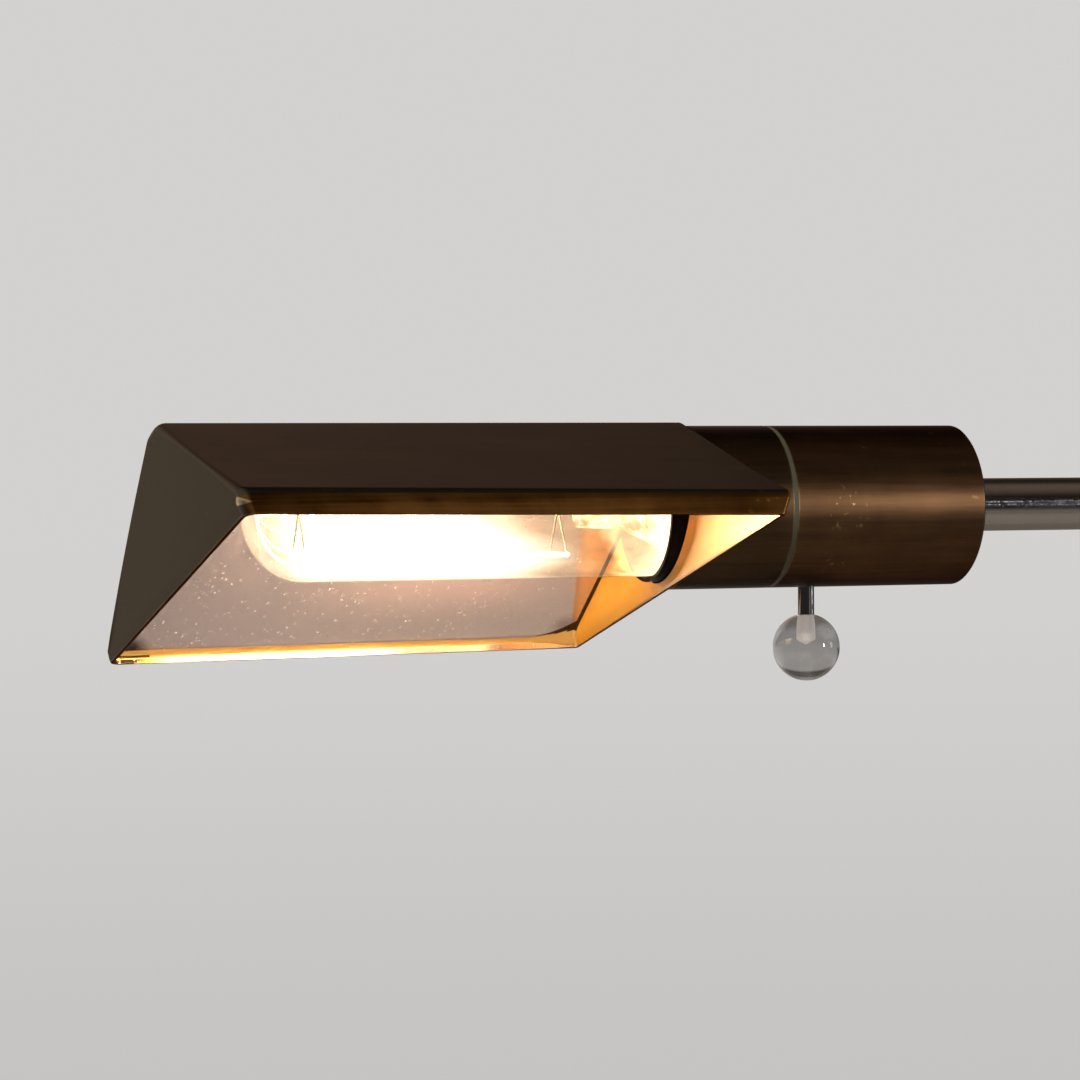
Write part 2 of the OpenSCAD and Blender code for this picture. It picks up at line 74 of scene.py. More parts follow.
class Graph:
    """Short calls that add nodes to a tree and link them."""

    def __init__(self, tree, vector):
        self.tree = tree
        tree.nodes.clear()
        self.coord = self.add("ShaderNodeTexCoord").outputs[vector]

    def add(self, kind, **values):
        node = self.tree.nodes.new(kind)
        for key, value in values.items():
            setattr(node, key, value)
        return node

    def link(self, a, b):
        self.tree.links.new(a, b)

    def put(self, value, socket):
        if isinstance(value, (int, float)):
            socket.default_value = value
        elif isinstance(value, tuple):
            socket.default_value = (*value, 1.0) if len(socket.default_value) == 4 else value
        elif value is not None:
            self.link(value, socket)

    def axes(self):
        node = self.add("ShaderNodeSeparateXYZ")
        self.link(self.coord, node.inputs["Vector"])
        return [node.outputs[axis] for axis in "XYZ"]

    def mapped(self, scale):
        node = self.add("ShaderNodeMapping")
        node.inputs["Scale"].default_value = scale
        self.link(self.coord, node.inputs["Vector"])
        return node.outputs["Vector"]

    def noise(self, scale, detail=4.0, rough=0.55, stretch=(1, 1, 1), distortion=0.0):
        node = self.add("ShaderNodeTexNoise")
        values = {"Scale": scale, "Detail": detail, "Roughness": rough, "Distortion": distortion}
        for key, value in values.items():
            node.inputs[key].default_value = value
        self.link(self.mapped(stretch), node.inputs["Vector"])
        return node.outputs["Fac"]

    def grains(self, scale, rare):
        """1 in small round spots of mixed size, one in each cell whose random number passes the limit."""
        node = self.add("ShaderNodeTexVoronoi")
        node.inputs["Scale"].default_value = scale
        self.link(self.coord, node.inputs["Vector"])
        chance = self.add("ShaderNodeSeparateColor")
        self.link(node.outputs["Color"], chance.inputs["Color"])
        crowd = self.ramp(self.noise(24, 3), 0.35, 0.65, 0.88, 1.06)
        radius = self.ramp(self.times(chance.outputs["Red"], crowd), rare, 1.06, 0.0, 0.42)
        return self.math("LESS_THAN", node.outputs["Distance"], radius)

    def ramp(self, value, low, high, a=0.0, b=1.0, smooth=False):
        node = self.add("ShaderNodeMapRange", interpolation_type="SMOOTHSTEP" if smooth else "LINEAR")
        for key, number in (("From Min", low), ("From Max", high), ("To Min", a), ("To Max", b)):
            node.inputs[key].default_value = number
        self.link(value, node.inputs["Value"])
        return node.outputs["Result"]

    def math(self, operation, a, b=None):
        node = self.add("ShaderNodeMath", operation=operation)
        self.put(a, node.inputs[0])
        self.put(b, node.inputs[1])
        return node.outputs[0]

    def times(self, *values):
        result = values[0]
        for value in values[1:]:
            result = self.math("MULTIPLY", result, value)
        return result

    def plus(self, *values):
        result = values[0]
        for value in values[1:]:
            result = self.math("ADD", result, value)
        return result

    def mix(self, factor, a, b):
        node = self.add("ShaderNodeMix", data_type="RGBA")
        self.link(factor, node.inputs[0])
        self.put(a, node.inputs[6])
        self.put(b, node.inputs[7])
        return node.outputs[2]

    def blend(self, factor, a, b):
        """Mixes two shaders."""
        node = self.add("ShaderNodeMixShader")
        self.put(factor, node.inputs["Fac"])
        self.link(a, node.inputs[1])
        self.link(b, node.inputs[2])
        return node.outputs["Shader"]

    def both(self, a, b):
        """Adds two shaders."""
        node = self.add("ShaderNodeAddShader")
        self.link(a, node.inputs[0])
        self.link(b, node.inputs[1])
        return node.outputs["Shader"]

    def seen(self, *kinds):
        """1 for rays of the named kinds, such as Camera or Glossy."""
        rays = self.add("ShaderNodeLightPath")
        result = rays.outputs[f"Is {kinds[0]} Ray"]
        for kind in kinds[1:]:
            result = self.math("MAXIMUM", result, rays.outputs[f"Is {kind} Ray"])
        return result


class Shader(Graph):
    """A material with one Principled surface, in the object's own coordinates."""

    def __init__(self, name):
        self.mat = bpy.data.materials.new(name)
        self.mat.use_nodes = True
        super().__init__(self.mat.node_tree, "Object")
        self.out = self.add("ShaderNodeOutputMaterial")
        self.bsdf = self.add("ShaderNodeBsdfPrincipled")
        self.surface(self.bsdf.outputs["BSDF"])

    def surface(self, shader):
        self.link(shader, self.out.inputs["Surface"])

    def set(self, **values):
        for key, value in values.items():
            self.bsdf.inputs[key.replace("_", " ")].default_value = value
        return self

    def to(self, value, socket):
        self.link(value, self.bsdf.inputs[socket])

    def bump(self, height, strength, distance):
        node = self.add("ShaderNodeBump")
        node.inputs["Strength"].default_value = strength
        node.inputs["Distance"].default_value = distance
        self.link(height, node.inputs["Height"])
        self.to(node.outputs["Normal"], "Normal")

    def edge(self, radius):
        """0 on flat faces, 1 where a sharp edge lies within the radius."""
        bevel = self.add("ShaderNodeBevel", samples=6)
        bevel.inputs["Radius"].default_value = radius
        geometry = self.add("ShaderNodeNewGeometry")
        dot = self.add("ShaderNodeVectorMath", operation="DOT_PRODUCT")
        self.link(bevel.outputs["Normal"], dot.inputs[0])
        self.link(geometry.outputs["Normal"], dot.inputs[1])
        return self.ramp(self.math("SUBTRACT", 1.0, dot.outputs["Value"]), 0.02, 0.25)

    def near(self, point, inner, outer):
        """1 within the inner distance of a point, 0 past the outer."""
        node = self.add("ShaderNodeVectorMath", operation="DISTANCE")
        self.link(self.coord, node.inputs[0])
        node.inputs[1].default_value = point
        return self.ramp(node.outputs["Value"], inner, outer, 1.0, 0.0, smooth=True)

    def wedge(self, tip, length, slope):
        """1 in a wedge that narrows along +X to the tip."""
        x, _, z = self.axes()
        half = self.times(self.math("SUBTRACT", tip.x, x), slope)
        off = self.math("ABSOLUTE", self.math("SUBTRACT", z, tip.z))
        inside = self.ramp(self.math("SUBTRACT", half, off), 0.0, 0.0004)
        return self.times(inside, self.near(tip, length * 0.85, length))

    def shade_height(self):
        """Height above the arm's axis, square to the turned shade."""
        _, y, z = self.axes()
        up = self.times(self.math("SUBTRACT", z, HEAD.z), math.cos(SHADE_TURN))
        return self.plus(up, self.times(y, math.sin(SHADE_TURN)))


def bronze(name, dark, mid, worn, roughness, streak=(1, 1, 1), cloud=1.0, rubbed_at=None,
           rim=(0.25, 0.22, 0.2), lacquer=0.0, tip=None, warm=None):
    """Satin bronze under a dark patina: cloudy tone, fine drawn lines, rubbed flecks and worn edges.

    More flecks lie round rubbed_at, a wedge at tip is a painted glint, and round warm the tone is
    paler, a painted glow of the bulb's light.
    """
    s = Shader(name).set(Metallic=1.0, Specular_Tint=(*rim, 1.0), Coat_Weight=lacquer, Coat_Roughness=0.35)
    broad = s.noise(36, 5, 0.6, distortion=0.3)
    lines = s.noise(700, 3, 0.6, streak)
    grain = s.plus(s.times(broad, 0.6), s.times(lines, 0.4))
    spread = 0.14 / cloud
    tone = s.ramp(grain, 0.5 - spread, 0.5 + spread)
    base = s.mix(tone, dark, mid)
    flecks = s.ramp(s.noise(640, 2, 0.5), 0.62, 0.72)
    patch = s.ramp(s.noise(55, 3, 0.5, distortion=0.4), 0.58, 0.68, 0.0, 0.5 * cloud)
    if rubbed_at:
        patch = s.math("MAXIMUM", patch, s.near(rubbed_at, 0.002, 0.007))
    base = s.mix(s.times(flecks, patch), base, worn)
    # painted glow: the tone is paler round warm, as if the bulb lit it
    if warm:
        base = s.mix(s.times(s.near(warm, 0.015, 0.060), tone, 0.8), base, worn)
    # painted glint: a pale wedge at the tip
    if tip:
        base = s.mix(s.wedge(tip, 0.0040, 0.35), base, GLINT_TONE)
    edges = s.times(s.edge(0.0008), s.ramp(s.noise(130, 3), 0.35, 0.65, 0.15, 0.7))
    s.to(s.mix(edges, base, worn), "Base Color")
    s.to(s.ramp(grain, 0.3, 0.7, roughness - 0.04, roughness + 0.05), "Roughness")
    s.bump(lines, 0.1, 0.00004)
    return s.mat


def plated(name, color, roughness, grain=(1, 1, 60), pits=0.0):
    """Bright plated metal with faint polishing marks; an aged one has shallow pits and dull patches."""
    s = Shader(name).set(Metallic=1.0)
    haze = s.noise(60, 4, 0.6)
    marks = s.noise(900, 2, 0.5, grain)
    low = tuple(c * 0.93 for c in color)
    s.to(s.mix(s.ramp(haze, 0.35, 0.65), low, color), "Base Color")
    if pits:
        dull = s.ramp(s.noise(130, 3, 0.6), 0.40, 0.62, smooth=True)
        s.to(s.ramp(dull, 0.0, 1.0, roughness, roughness * 1.6), "Roughness")
        s.bump(s.noise(330, 2, 0.5), 1.0, pits)
    else:
        uneven = s.plus(s.times(haze, 0.5), s.times(marks, 0.5))
        s.to(s.ramp(uneven, 0.3, 0.7, roughness * 0.7, roughness * 1.5), "Roughness")
        s.bump(marks, 0.03, 0.00002)
    return s.mat


def moulded(name, dark, light, roughness, grain=700, depth=0.00005, **more):
    """Moulded, pressed or cast stuff with a fine grain and a slight tone change."""
    s = Shader(name).set(**more)
    fine = s.noise(grain, 3, 0.6)
    broad = s.noise(45, 4, 0.55)
    tone = s.ramp(s.plus(s.times(fine, 0.4), s.times(broad, 0.6)), 0.35, 0.65)
    s.to(s.mix(tone, dark, light), "Base Color")
    s.to(s.ramp(broad, 0.3, 0.7, max(0.02, roughness - 0.06), roughness + 0.06), "Roughness")
    s.bump(fine, 0.25, depth)
    return s.mat


def polished_inside(name, dark, light, roughness, film, near_tone=None, dusty=False):
    """Polished inner face of the shade: a warm mirror under a thin film of haze.

    near_tone is a paler tone toward the near side of the rear end, painted light of the bulb; the
    rear end is also darker toward its rim. dusty adds grains of settled dust, painted shade in the
    far corners, a painted orange glow on the front of the skirt and a painted glow that the bulb
    throws on the panel below it.
    """
    s = Shader(name).set(Coat_Weight=0.35, Coat_Roughness=0.45)
    haze = s.noise(30, 5, 0.6)
    metal = s.mix(s.ramp(haze, 0.35, 0.65), dark, light)
    if near_tone:
        y = s.axes()[1]
        # the rear end is darker toward its rim
        low = s.ramp(s.shade_height(), -0.0125, -0.0185, smooth=True)
        metal = s.mix(low, metal, tuple(c * 0.65 for c in dark))
        # painted light: a paler tone toward the near side, where the bulb lights the rear end
        metal = s.mix(s.ramp(y, 0.020, -0.015, smooth=True), metal, near_tone)
    s.to(s.ramp(haze, 0.3, 0.7, roughness, roughness + 0.07), "Roughness")
    cloud = s.ramp(s.noise(330, 4, 0.7), 0.35, 0.75, film * 0.6, film * 1.5)
    if dusty:
        x, y, z = s.axes()
        front_tone = tuple(c * f for c, f in zip(dark, (0.76, 0.79, 0.88)))
        metal = s.mix(s.ramp(x, HEAD.x - 0.135, HEAD.x - 0.050), front_tone, metal)
        # painted glow: an orange tone on the front of the skirt, for the bulb's light on it
        skirt = s.ramp(s.shade_height(), -0.0155, -0.0168)
        front_skirt = s.times(skirt, s.ramp(x, HEAD.x - 0.095, HEAD.x - 0.135))
        metal = s.mix(front_skirt, metal, (0.90, 0.42, 0.08))
        # painted shade in the far front and far rear inner corners
        metal = s.mix(s.near(CORNER, 0.0028, 0.0075), metal, (0.06, 0.025, 0.008))
        metal = s.mix(s.times(s.near(REAR_CORNER, 0.001, 0.006), 0.6), metal, (0.22, 0.12, 0.06))
        dust = s.math("MAXIMUM", s.grains(1100, 0.66), s.times(s.grains(2500, 0.45), 0.4))
        metal = s.mix(s.times(dust, 0.75), metal, (1.0, 0.84, 0.66))
        cloud = s.math("MAXIMUM", s.times(dust, 0.4), cloud)
        # painted light: a glow that the bulb throws on the panel below it
        across = s.times(s.ramp(z, HEAD.z - 0.0290, HEAD.z - 0.0160, smooth=True), s.ramp(y, 0.02, 0.03))
        halo = s.times(across, s.ramp(x, HEAD.x - 0.105, HEAD.x - 0.070),
                       s.ramp(x, HEAD.x - 0.025, HEAD.x - 0.055), 0.30)
        s.to(halo, "Emission Strength")
        s.set(Emission_Color=(1.0, 0.48, 0.32, 1.0))
    s.to(metal, "Base Color")
    s.to(s.math("SUBTRACT", 1.0, cloud), "Metallic")
    return s.mat


def clear_glass(name, tint, veil=None):
    """Thin clear glass: straight through, with a mirrored skin that grows toward the rim.

    veil gives the colour and strength of a light that is added to it.
    """
    s = Shader(name).set(Base_Color=(*tint, 1.0), Roughness=0.03)
    through = s.add("ShaderNodeBsdfTransparent")
    through.inputs["Color"].default_value = (*tint, 1.0)
    gloss = s.add("ShaderNodeBsdfGlossy")
    gloss.inputs["Roughness"].default_value = 0.03
    rim = s.math("POWER", s.add("ShaderNodeLayerWeight").outputs["Facing"], 4.0)
    dusty = s.ramp(s.noise(180, 4, 0.7), 0.5, 0.8, 0.02, 0.08)
    skin = s.blend(s.plus(s.times(rim, 0.6), dusty), through.outputs["BSDF"], gloss.outputs["BSDF"])
    if veil:
        light = s.add("ShaderNodeEmission")
        color, strength = veil(s)
        s.put(color, light.inputs["Color"])
        s.put(s.times(strength, s.ramp(rim, 0.35, 0.9, 1.0, 0.3)), light.inputs["Strength"])
        skin = s.both(skin, light.outputs["Emission"])
    s.surface(skin)
    return s.mat


def bulb_veil(s):
    """Haze of light on the glass round the strands, in fingers at its inner end, and a glint by the neck."""
    x, y, z = s.axes()
    turn = s.math("ARCTAN2", s.math("SUBTRACT", z, HEAD.z), y)
    finger = s.times(s.math("COSINE", s.times(turn, STRANDS)), 0.004)
    tongue = s.plus(s.ramp(z, HEAD.z - 0.012, HEAD.z - 0.005, 0.0, 0.014),
                    s.ramp(z, HEAD.z - 0.012, HEAD.z - 0.016, 0.0, 0.005))
    inner = s.ramp(s.plus(x, finger, tongue), HEAD.x - 0.043, HEAD.x - 0.063, smooth=True)
    inner = s.math("MAXIMUM", inner, s.ramp(x, HEAD.x - 0.036, HEAD.x - 0.046, 0.0, 0.14))
    dome = s.ramp(x, HEAD.x - 0.118, HEAD.x - 0.109, 0.25, 1.0, smooth=True)
    lower = s.ramp(z, HEAD.z - 0.0160, HEAD.z - 0.0135, 0.45, 1.0, smooth=True)
    body = s.times(inner, dome, lower)
    wave = s.ramp(s.noise(90, 3, 0.6, (0.2, 1, 1)), 0.3, 0.7, 0.7, 1.3)
    ragged = s.plus(x, s.times(s.math("SUBTRACT", s.noise(70, 3), 0.5), 0.02))
    neck = s.ramp(ragged, HEAD.x - 0.036, HEAD.x - 0.030, smooth=True)
    tone = s.mix(body, (1.0, 0.76, 0.42), (1.0, 0.88, 0.70))
    return tone, s.times(s.plus(body, neck), wave, 1.05)


def mount_veil(s):
    """Broken glints on the bulb's glass foot."""
    return (1.0, 0.78, 0.46), s.ramp(s.noise(210, 3, 0.6), 0.42, 0.64, 0.06, 1.3)


def glowing(name, color, strength):
    """Incandescent strand: warm white light, a little uneven along its length."""
    s = Shader(name).set(Base_Color=(1.0, 0.85, 0.6, 1.0), Roughness=0.5, Emission_Color=(*color, 1.0))
    cool_end = s.ramp(s.axes()[0], HEAD.x - 0.0515, HEAD.x - 0.062, 0.02, 1.0)
    uneven = s.ramp(s.noise(150, 2), 0.3, 0.7, strength * 0.85, strength * 1.15)
    s.to(s.times(uneven, cool_end), "Emission Strength")
    return s.mat


def acrylic(name, tint, roughness, painted_glow=0.0):
    """Solid clear plastic; the last argument is a faint painted glow on a rough drilled face."""
    s = Shader(name).set(Base_Color=(*tint, 1.0), Transmission_Weight=1.0, IOR=1.49)
    s.to(s.ramp(s.noise(300, 3), 0.3, 0.7, roughness, roughness + 0.015), "Roughness")
    return s.set(Emission_Color=(1.0, 0.9, 0.83, 1.0), Emission_Strength=painted_glow).mat


# Meshes made here

def piece(name, mesh_data, materials, body, slot, *replaced):
    """A mesh that rides on a body and stands for the replaced nodes."""
    obj = bpy.data.objects.new(name, mesh_data)
    scene.collection.objects.link(obj)
    for mat in materials:
        obj.data.materials.append(mat)
    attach(obj, body)
    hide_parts(*replaced)
    return obj


def circle(radius, count):
    """Even points of a circle about the origin."""
    angles = [2 * math.pi * i / count for i in range(count)]
    return [(radius * math.cos(a), radius * math.sin(a)) for a in angles]


def lathe(name, profile, place, segments=96):
    """Turns points of radius and height about local Z; a material index may follow each pair."""
    bm = bmesh.new()
    rings = []
    for point in profile:
        radius, height = point[0], point[1]
        if radius < 1e-7:
            rings.append([bm.verts.new(place @ Vector((0, 0, height)))])
            continue
        rings.append([bm.verts.new(place @ Vector((x, y, height))) for x, y in circle(radius, segments)])
    for a, b, point in zip(rings, rings[1:], profile):
        for i in range(segments):
            j = (i + 1) % segments
            corners = []
            for v in (a[i % len(a)], a[j % len(a)], b[j % len(b)], b[i % len(b)]):
                if v not in corners:
                    corners.append(v)
            if len(corners) > 2:
                face = bm.faces.new(corners)
                face.smooth = True
                face.material_index = point[2] if len(point) > 2 else 0
    bmesh.ops.recalc_face_normals(bm, faces=bm.faces)
    data = bpy.data.meshes.new(name)
    bm.to_mesh(data)
    bm.free()
    return data


# The shade, in millimetres from the seam on the arm's axis: back is the gap from the seam to the rear
# end, collar the radius that the panels are tangent to, ridge the crest's radius, and hole the socket's
SHADE = {"back": 22.5, "length": 122.3, "pitch": 27.8, "sheet": 0.8, "ridge": 10.0, "collar": 19.05,
         "front_lean": 2.1, "rear_lean": 8.0, "hole": 17.6}
# Half width at the hem and depth of the rim below the axis, on the near side and on the wider far side
NEAR, FAR = (67.25, 19.05), (69.65, 18.15)
# Radius of the folds at the front end, before the rear corners and at the rear end, outside and inside
FOLDS = (4.0, 2.6, 2.5), (2.4, 1.5, 11.0)
# Length over which the inner folds open out into the rear corners
FLARE = 13.0
# Radius of the edge between the end faces and the ridge, panels and folds
FRONT_EDGE = {"ridge": 3.4, "panel": 1.0, "fold": 3.0}
REAR_EDGE = {"ridge": 0.9, "panel": 0.8, "fold": 0.8}
INNER_FRONT = {"ridge": 2.6, "panel": 1.0, "fold": 2.3}
INNER_REAR = {"ridge": 0.7, "panel": 0.7, "fold": 0.7}
# Slight twist of the drawn sheet, in degrees, at its front and rear ends
TWIST = (-1.1, 0.0)
# How far its near and far rear corners are drawn out, at the rim and above it
EAR = (0.0, 1.2), (1.4, -0.2)
# Height over which that changes, and the distances from the ridge between which it sets in
EAR_RISE, EAR_SPAN = 4.0, (49.0, 65.0)
# How far, and over what height, the front end rolls inward at its rim
ROLL = (1.0, 5.0)
# Rolled lip round the socket's hole: how far each ring lies outside the hole and before the end face
LIP = ((0.5, 0.0), (0.3, 0.35), (0.1, 0.9), (0.0, 1.8))
# Faces of each bend and panel across the section, and passes that blend the edge radii along it
BENDS, BLENDS = 12, 16
# Least height of the straight hem below a fold
HEM_HEIGHT = 0.2
# Material slots of the shade's faces
OUTSIDE, INSIDE, REAR_END, HEM_FACE, SEAM_AND_SHADE_FACE, LIP_FACE, FOLD_FACE = range(7)


def shade_section(fold, inset):
    """Outline from hem to hem, inset from the outer face: point, outward normal and place on the tent."""
    k = SHADE
    pitch = math.radians(k["pitch"])

    def bend(y, z, r, start, stop, kind):
        out = []
        for i in range(BENDS + 1):
            a = math.radians(start + (stop - start) * i / BENDS)
            normal = Vector((math.cos(a), math.sin(a)))
            out.append((Vector((y, z)) + r * normal, normal, kind))
        return out

    crest = bend(0, (k["collar"] - k["ridge"]) / math.cos(pitch), k["ridge"] - inset, 90 + k["pitch"],
                 90 - k["pitch"], "ridge")

    def half(width, rim):
        """From the rim on the -Y side to the crest; a large fold starts at the rim."""
        hem_y = width - inset - fold
        hem_z = (k["collar"] - inset - fold - hem_y * math.sin(pitch)) / math.cos(pitch)
        start = 180 - math.degrees(math.asin(max(0.0, (HEM_HEIGHT - rim - hem_z) / fold)))
        out = bend(-hem_y, hem_z, fold, start, 90 + k["pitch"], "fold")
        out.insert(0, (Vector((out[0][0].x, -rim)), Vector((-1, 0)), "fold"))
        a, b = out[-1][0], crest[0][0]
        return out + [(a.lerp(b, i / BENDS), crest[0][1], "panel") for i in range(1, BENDS)]

    far = [(Vector((-p.x, p.y)), Vector((-n.x, n.y)), kind) for p, n, kind in half(*FAR)[::-1]]
    return half(*NEAR) + crest + far


def smoothed(values, passes):
    """Evens out a list of numbers; the first and last stay."""
    for _ in range(passes):
        inner = [(a + 2 * b + c) / 4 for a, b, c in zip(values, values[1:], values[2:])]
        values = values[:1] + inner + values[-1:]
    return values


def shade_mesh(name):
    """Drawn tent: rounded ridge, folds and ends, hem, and a lipped hole for the socket."""
    k = SHADE
    lean_f, lean_r = math.radians(k["front_lean"]), math.radians(k["rear_lean"])

    def front(z, inset):
        curl = ROLL[0] * max(0.0, 1 - (z + k["collar"]) / ROLL[1]) ** 2
        return -k["back"] - k["length"] - z * math.tan(lean_f) + inset / math.cos(lean_f) + curl

    def rear(z, inset):
        return -k["back"] + z * math.tan(lean_r) - inset / math.cos(lean_r)

    def ear(point):
        low, high = EAR[1 if point.x > 0 else 0]
        tip = low + (high - low) * min(1.0, (point.y + k["collar"]) / EAR_RISE)
        start, stop = EAR_SPAN
        return tip * min(1.0, max(0.0, (abs(point.x) - start) / (stop - start)))

    place = Matrix.Translation(HEAD) @ Matrix.Rotation(-SHADE_TURN, 4, "X") @ Matrix.Scale(MM, 4)

    def placed(v):
        along = (v.x + k["back"] + k["length"]) / k["length"]
        lean = TWIST[0] + (TWIST[1] - TWIST[0]) * along
        return place @ Matrix.Rotation(math.radians(lean), 4, "X") @ v

    bm = bmesh.new()
    # Faces along the shade, round each end's edge, along the rear corners, and round the hole
    steps, turns, flares, around = 14, 6, 8, 60

    def end_arc(section, i, end, sign, radius, inset):
        """Rounding between an end face and the outline's point i, from the end face on."""
        point, normal, _ = section[i]
        out = []
        for j in range(turns + 1):
            t = math.pi / 2 * (1 - j / turns)
            at = point - normal * radius * (1 - math.cos(t))
            x = end(at.y, inset) + sign * radius * (1 - math.sin(t))
            out.append(Vector((x + (ear(point) if sign < 0 else 0.0), at.x, at.y)))
        return out

    def opening(a, b):
        """Stations from before a rear corner to its end: along X in even steps, across it ever faster."""
        out = []
        for j in range(flares):
            t = j / flares
            at = a.lerp(b, t * t)
            at.x = a.x + (b.x - a.x) * t
            out.append(at)
        return out

    def paint(inside, i, last, bend):
        """Material of face i of a row; bend is 0 on the panels and grows over the fold to 1 at the hem."""
        if not inside:
            return HEM_FACE if bend > 0.87 and i >= turns // 2 else OUTSIDE
        if i >= last - turns:  # edge of the rear end: painted shade in the inner crease
            return SEAM_AND_SHADE_FACE if bend < 0.75 else FOLD_FACE
        if 0.6 < bend < 0.99 and i < (turns + 1 if bend > 0.93 else turns):  # front corners: painted shade in the inner crease
            return SEAM_AND_SHADE_FACE
        corner = i - (last - turns - flares)  # steps into a rear corner, where the painted shade widens
        if corner > 1 and 0 < bend < 0.44 + 0.05 * corner:
            return SEAM_AND_SHADE_FACE
        return FOLD_FACE if 0.6 < bend < 0.9999 else INSIDE

    shells, holes = [], []
    outer_face = False, 0.0, FOLDS[0], (FRONT_EDGE, REAR_EDGE)
    inner_face = True, k["sheet"], FOLDS[1], (INNER_FRONT, INNER_REAR)
    for inside, inset, folds, tables in (outer_face, inner_face):
        sections = [shade_section(fold, inset) for fold in folds]
        edges = [smoothed([table[kind] for _, _, kind in sections[0]], BLENDS) for table in tables]
        grid = []
        for i, (waist, _, _) in enumerate(sections[1]):
            fore = end_arc(sections[0], i, front, 1, edges[0][i], inset)
            aft = end_arc(sections[2], i, rear, -1, edges[1][i], inset)
            flare = Vector((rear(waist.y, inset) - FLARE, waist.x, waist.y))
            middle = [fore[-1].lerp(flare, j / steps) for j in range(1, steps)] + opening(flare, aft[-1])
            grid.append([bm.verts.new(placed(v)) for v in fore + middle + aft[::-1]])
        for u, v, this, other in zip(grid, grid[1:], sections[0], sections[0][1:]):
            bend = min(abs(this[1].x), abs(other[1].x)) if this[2] == other[2] == "fold" else 0.0
            for i in range(len(u) - 1):
                face = bm.faces.new((u[i], u[i + 1], v[i + 1], v[i]))
                face.material_index = paint(inside, i, len(u) - 1, bend)
        bm.faces.new([row[0] for row in grid]).material_index = INSIDE if inside else OUTSIDE
        rings = []
        for out, forward in LIP if inside else ((0.0, 0.0),):
            rings.append([bm.verts.new(placed(Vector((rear(z, inset) - forward, y, z))))
                          for y, z in circle(k["hole"] + out, around)])
        outline = []
        for chain in ([row[-1] for row in grid], rings[0]):
            for a, b in zip(chain, chain[1:] + chain[:1]):
                outline.append(bm.edges.get((a, b)) or bm.edges.new((a, b)))
        filled = bmesh.ops.triangle_fill(bm, edges=outline, use_beauty=True)
        for item in filled["geom"]:
            if isinstance(item, bmesh.types.BMFace):
                item.material_index = REAR_END if inside else OUTSIDE
        for a, b in zip(rings, rings[1:]):
            for i in range(around):
                j = (i + 1) % around
                bm.faces.new((a[i], a[j], b[j], b[i])).material_index = LIP_FACE
        shells.append((grid[0], grid[-1], [grid[0][0], grid[-1][0]], [grid[0][-1], grid[-1][-1]]))
        holes.append(rings[-1])
    for outer, inner in zip(*shells):
        for i in range(len(outer) - 1):
            bm.faces.new((outer[i], outer[i + 1], inner[i + 1], inner[i])).material_index = SEAM_AND_SHADE_FACE
    for i in range(around):
        j = (i + 1) % around
        bm.faces.new((holes[0][i], holes[0][j], holes[1][j], holes[1][i]))
    bmesh.ops.recalc_face_normals(bm, faces=bm.faces)
    for face in bm.faces:
        face.smooth = True
    data = bpy.data.meshes.new(name)
    bm.to_mesh(data)
    bm.free()
    return data


def bulb_profile():
    """Outline of the glass from the tip to the neck, as radius and height along the axis."""
    tip, dome, radius = -126.0, 13.5, 15.875
    neck, shoulder, length, end = 12.68, -29.5, 4.5, -18.5
    angles = [math.radians(a) for a in range(3, 91, 3)]

    out = [(0.0, tip)]
    out += [(radius * math.sin(a), tip + dome * (1 - math.cos(a))) for a in angles]
    out += [(radius, shoulder - 50), (radius, shoulder - 0.5)]
    out += [(neck + (radius - neck) * (1 + math.cos(math.pi * i / 12)) / 2, shoulder + length * i / 12)
            for i in range(1, 13)]
    out.append((neck, end))
    return [(r * MM, z * MM) for r, z in out]


def ball_profile():
    """Clear ball with a seat for the stem and a drilled hole below it.

    The drilled faces take the second material.
    """
    radius, stem, pin = 7.95, 2.02, 1.52
    seat, drill = radius - 1.3, radius - 6.7
    top = math.degrees(math.acos(stem / radius))
    outer = [(radius * math.cos(math.radians(a)), radius * math.sin(math.radians(a)), 0)
             for a in [-90 + i * (top + 90) / 60 for i in range(61)]]
    outer[0] = (0.0, -radius, 0)
    outer[-1] = (*outer[-1][:2], 1)
    hole = [(stem, seat, 1), (pin, seat, 1), (pin, drill, 1), (0.0, drill - 0.9, 1)]
    return [(r * MM, z * MM, m) for r, z, m in outer + hole]


# Finishes

HOUSING = bronze("bronze_housing", (0.074, 0.037, 0.015), (0.138, 0.070, 0.029), (0.52, 0.36, 0.13), 0.345,
                 streak=(0.05, 1, 1), rubbed_at=(HEAD.x + 0.0125, -0.0187, HEAD.z - 0.0012), lacquer=0.18)
COLLAR = bronze("bronze_collar", (0.052, 0.029, 0.011), (0.098, 0.055, 0.021), (0.46, 0.32, 0.12), 0.36,
                streak=(0.05, 1, 1), lacquer=0.25)
SHADE_OUT = bronze("bronze_shade", (0.082, 0.066, 0.051), (0.100, 0.082, 0.065), (0.36, 0.29, 0.20), 0.40,
                   streak=(0.04, 1, 1), cloud=0.5, rim=(0.42, 0.40, 0.37), tip=NEAR_TIP)
# The hem is a warmer copy of the shade's bronze: a painted warm reflection, with a painted glow round warm
HEM = bronze("bronze_hem_painted_sheen", (0.104, 0.043, 0.010), (0.245, 0.100, 0.023), (0.46, 0.21, 0.05), 0.32,
             streak=(0.02, 1, 1), cloud=1.3, tip=NEAR_TIP, warm=NEAR_TIP + Vector((0.045, 0, 0)))
